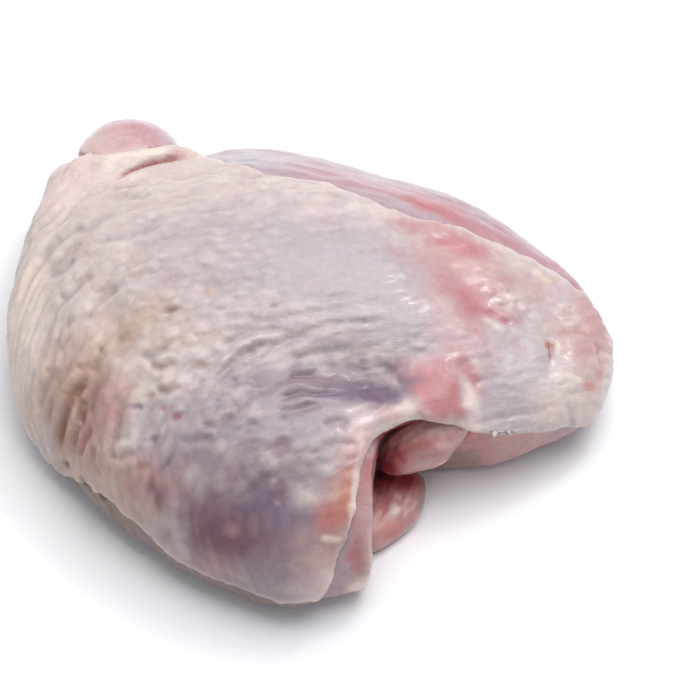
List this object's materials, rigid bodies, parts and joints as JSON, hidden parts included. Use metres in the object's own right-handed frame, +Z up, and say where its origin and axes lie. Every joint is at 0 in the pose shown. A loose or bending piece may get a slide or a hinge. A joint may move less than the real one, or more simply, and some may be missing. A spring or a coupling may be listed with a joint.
{
  "type": "raw turkey thigh",
  "caption": "Raw turkey thigh, skin side up: broad domed slab with goose-bumped skin, a cut bay between front lobe and knee, and bare meat along the back edge.",
  "frame": {"origin": "on the table, under the middle of the whole piece", "axes": "+Z up, +X towards the knee end, -X towards the hip end, -Y the thick front edge, +Y the bare back edge"},
  "size_m": [0.1824, 0.1794, 0.0473],
  "materials": {
    "raw_skin": "satin",
    "raw_meat": "satin",
    "dark_meat": "satin"
  },
  "bodies": {
    "root": {"skin": "raw_skin", "thigh_meat": "raw_meat", "hip_muscle": "raw_meat", "knee_muscle": "dark_meat", "under_flap": "dark_meat"}
  },
  "joints": []
}
